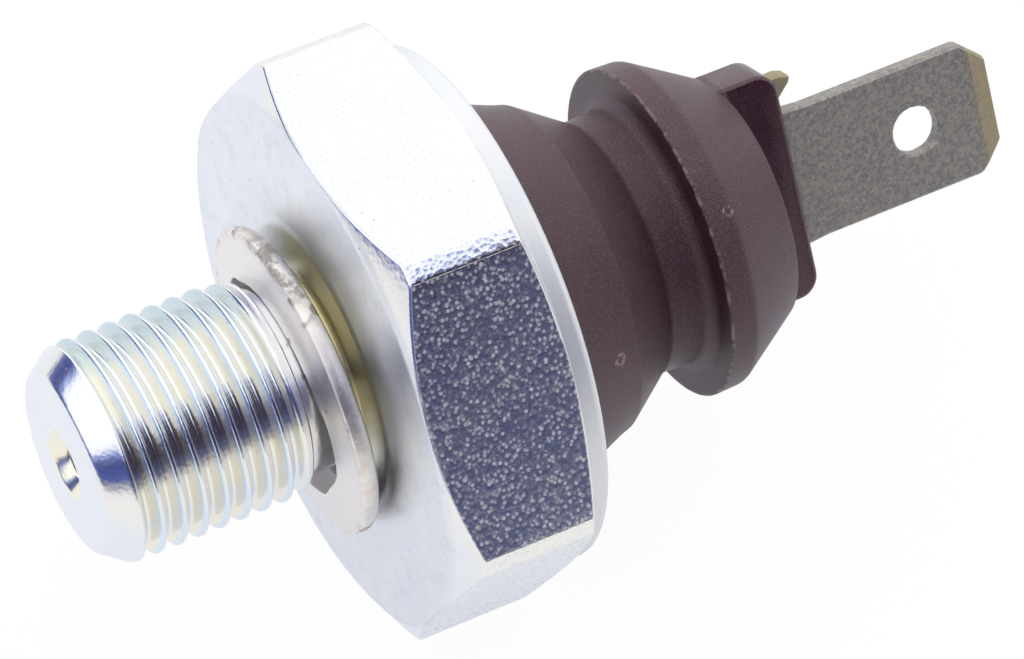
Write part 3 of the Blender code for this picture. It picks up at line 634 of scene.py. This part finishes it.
def terminal_metal(place):
    """Tarnished tin on brass: grey-brown mottle, with the yellow brass showing at the tip and on the ear."""
    x = place.part(0)
    mottle = place.noise(4.0, 3.0, 0.65)
    fine = place.noise(7.0, 4.0, 0.7)
    colour = mottle.step(0.38, 0.62).tint((0.29, 0.29, 0.30), (0.43, 0.40, 0.35))
    colour = (fine.step(0.48, 0.66) * 0.6).tint(colour, (0.60, 0.54, 0.44))
    beyond = (place.part(1) * STRIP_SIDE[0] + place.part(2) * STRIP_SIDE[1]).maths("ABSOLUTE")
    gold = x.step(TIP + BLADE_END - 1.3, TIP + BLADE_END - 0.5)
    gold = gold.most(beyond.step(BLADE_HALF + 0.05, BLADE_HALF + 0.25))
    colour = (gold * 0.7).tint(colour, (0.46, 0.38, 0.20))
    return {
        "Base Color": colour,
        "Metallic": 0.75,
        "Roughness": 0.42 + 0.2 * fine,
        "Normal": bumped(place, fine * 0.5 + mottle * 0.5, 0.00005),
    }


def refinish(node_name, material):
    """Gives a solid a new finish and leaves its shape and place alone."""
    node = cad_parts[node_name]
    node.data.materials.clear()
    node.data.materials.append(material)


refinish("terminal", finish("terminal_tin", terminal_metal))


# Pieces inside the cup and the moulding, seen only when it is cut open: seal, diaphragm, contacts, plunger,
# pin and gasket. They keep the shapes of the solids.
def rubber(place):
    """Black nitrile rubber with a faint bloom."""
    bloom = place.noise(1.5, 3.0)
    return {"Base Color": bloom.step(0.3, 0.7).tint((0.015, 0.015, 0.016), (0.04, 0.04, 0.04)),
            "Roughness": 0.55 + 0.2 * bloom, "Normal": bumped(place, place.noise(9.0), 0.00002)}


def amber_film(place):
    """Amber polyimide film."""
    haze = place.noise(0.8, 2.0)
    return {"Base Color": haze.tint((0.50, 0.24, 0.03), (0.62, 0.34, 0.08)), "Roughness": 0.2 + 0.15 * haze}


def spring_wire(place):
    """Bright drawn steel."""
    marks = place.noise(6.0, 3.0)
    return {"Base Color": marks.tint((0.52, 0.52, 0.53), (0.68, 0.68, 0.70)), "Metallic": 1.0,
            "Roughness": 0.25 + 0.15 * marks}


def turned_brass(place):
    """Bright brass with fine marks of turning."""
    marks = place.node("Mapping", n0=place, Scale=(12.0, 0.4, 0.4)).noise(3.0, 2.0)
    return {"Base Color": marks.tint((0.66, 0.47, 0.18), (0.80, 0.62, 0.30)), "Metallic": 1.0,
            "Roughness": 0.22 + 0.15 * marks, "Normal": bumped(place, marks, 0.00001)}


def natural_plastic(place):
    """Natural polyamide, a little cloudy."""
    haze = place.noise(1.2, 3.0)
    return {"Base Color": haze.tint((0.74, 0.71, 0.60), (0.84, 0.81, 0.72)), "Roughness": 0.4 + 0.15 * haze,
            "Normal": bumped(place, place.noise(6.0), 0.00001)}


inner_finishes = {
    "seal_ring": rubber, "insulator_gasket": rubber, "diaphragm": amber_film, "contact_plate": turned_brass,
    "contact_pin": turned_brass, "contact_ring": spring_wire, "plunger": natural_plastic,
}
for name, maker in inner_finishes.items():
    refinish(name, finish("inner_" + name, maker))


# Contact spring: a coil of bright wire between the moving contact and the pin's head.
COIL_LOW, COIL_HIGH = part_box("contact_spring")
COIL_RADIUS = 1.9
COIL_TURNS = 6
WIRE_RADIUS = 0.2


def wire_coil():
    """Tube round a helix: its centre line is (x, R cos t, R sin t), with x rising evenly from end to end.

    A point of the tube lies a wire's radius off, at cos a times (0, cos t, sin t) and sin a times
    (-R, -p sin t, p cos t) / L, with p the rise for a radian and L the root of R^2 + p^2.
    """
    first, last = COIL_LOW.x / MM + WIRE_RADIUS, COIL_HIGH.x / MM - WIRE_RADIUS
    t = np.linspace(0, 2 * np.pi * COIL_TURNS, COIL_TURNS * 36 + 1)[:, None]
    a = np.linspace(0, 2 * np.pi, 12, endpoint=False)
    rise = (last - first) / t[-1, 0]
    out = COIL_RADIUS + WIRE_RADIUS * np.cos(a)
    tilt = WIRE_RADIUS * np.sin(a) / np.hypot(COIL_RADIUS, rise)
    x = first + rise * t - tilt * COIL_RADIUS
    y = out * np.cos(t) - tilt * rise * np.sin(t)
    z = out * np.sin(t) + tilt * rise * np.cos(t)
    return capped("contact_coil", np.stack([x, y, AXIS + z], -1))


coil = wire_coil()
coil.data.materials.append(finish("coil_wire", spring_wire))
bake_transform(coil)
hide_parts("contact_spring")


# Studio: a pale floor under a soft pale dome, both dark toward the front where the bright plating mirrors
# them, and white to the camera. The camera is a long lens at the photograph's place.
def studio_world():
    """World: white to the camera. To the sender it is white above an edge, then blue, near black and navy.

    The edge's height is 0.40 of the dome, with up to 0.49 more toward the front and 0.17 less behind. On
    the blade's side it is below the floor, so the dome is white there all the way down.
    """
    world = bpy.data.worlds.new("studio")
    bpy.context.scene.world = world
    world.use_nodes = True
    tree = world.node_tree
    tree.nodes.clear()
    start = Paint(tree)
    toward = start.node("TexCoord", 0)
    x, y, z = (toward.part(k) for k in range(3))
    level = ((x * x + y * y) ** 0.5).most(0.001)
    ahead = (x * 0.5 - y * 0.866) / level
    front = ahead.most(0.0) ** 1.5
    low = ahead.step(-0.06, -0.3) * ahead.step(-1.0, -0.8)
    beside = ((x * 0.866 + y * 0.5) / level).step(0.25, 0.55)
    edge = 0.40 + 0.49 * front - 0.17 * low - 0.9 * beside
    above = z - edge
    navy = front.tint((0.06, 0.09, 0.34), (0.08, 0.09, 0.18))
    night = front.tint((0.05, 0.06, 0.20), (0.040, 0.026, 0.036))
    dark = z.step(0.12, 0.26).tint(navy, night)
    dark = above.step(-0.12, 0.0).tint(dark, (0.24, 0.36, 0.90))
    sky = above.step(-0.03, 0.05).tint(dark, (1.14, 1.14, 1.15))
    seen = start.node("LightPath", 0)
    colour = seen.tint(sky, (1.0, 1.0, 1.0))
    ground = start.node("Background", Color=colour, Strength=1.0)
    output = tree.nodes.new("ShaderNodeOutputWorld")
    tree.links.new(ground.socket, output.inputs["Surface"])


studio_world()

FLOOR_SPAN = 1.5
FLOOR_HEIGHT = -0.00002
floor_mesh = bpy.data.meshes.new("floor")
floor_mesh.from_pydata([(x * FLOOR_SPAN, y * FLOOR_SPAN, FLOOR_HEIGHT)
                        for x, y in ((-1, -1), (1, -1), (1, 1), (-1, 1))], [], [(0, 1, 2, 3)])
floor = bpy.data.objects.new("floor", floor_mesh)
bpy.context.scene.collection.objects.link(floor)
paper = bpy.data.materials.new("floor_paper")
paper.use_nodes = True
tree = paper.node_tree
tree.nodes.clear()
start = Paint(tree)
seen = start.node("LightPath", 0)
mirrored = start.node("LightPath", 3)
spot = start.node("TexCoord", 3)
before = spot.part(1).step(-0.010, -0.018)
far = spot.node("VectorMath", 1, {"operation": "LENGTH"}, n0=spot).step(0.06, 0.12)
cast = before.most(far).tint((0.92, 0.94, 1.00), (1.00, 0.96, 0.88))
cast = spot.part(1).step(-0.05, -0.12).tint(cast, (0.12, 0.11, 0.14))
matt = start.node("BsdfDiffuse", Color=(0.92, 0.92, 0.93))
glow = start.node("Emission", Color=seen.tint(cast, (1.0, 1.0, 1.0)), Strength=1.02)
mixed = start.node("MixShader", n0=(seen * 0.93).most(mirrored * 0.7), n1=matt, n2=glow)
output = tree.nodes.new("ShaderNodeOutputMaterial")
tree.links.new(mixed.socket, output.inputs["Surface"])
floor_mesh.materials.append(paper)

camera_data = bpy.data.cameras.new("camera")
camera_data.lens = 249.73
camera_data.sensor_width = 36.0
camera_data.clip_start = 0.01
camera = bpy.data.objects.new("camera", camera_data)
bpy.context.scene.collection.objects.link(camera)
right = Vector((0.88560787, -0.46436694, -0.00787749))
forward = Vector((0.30363135, 0.5917324, -0.74676687))
above = right.cross(forward)
camera.matrix_world = Matrix.Translation((-0.09529, -0.18318, 0.24046)) @ Matrix(
    (right, above, -forward)).transposed().to_4x4()
bpy.context.scene.camera = camera
bpy.context.scene.view_settings.view_transform = "Standard"
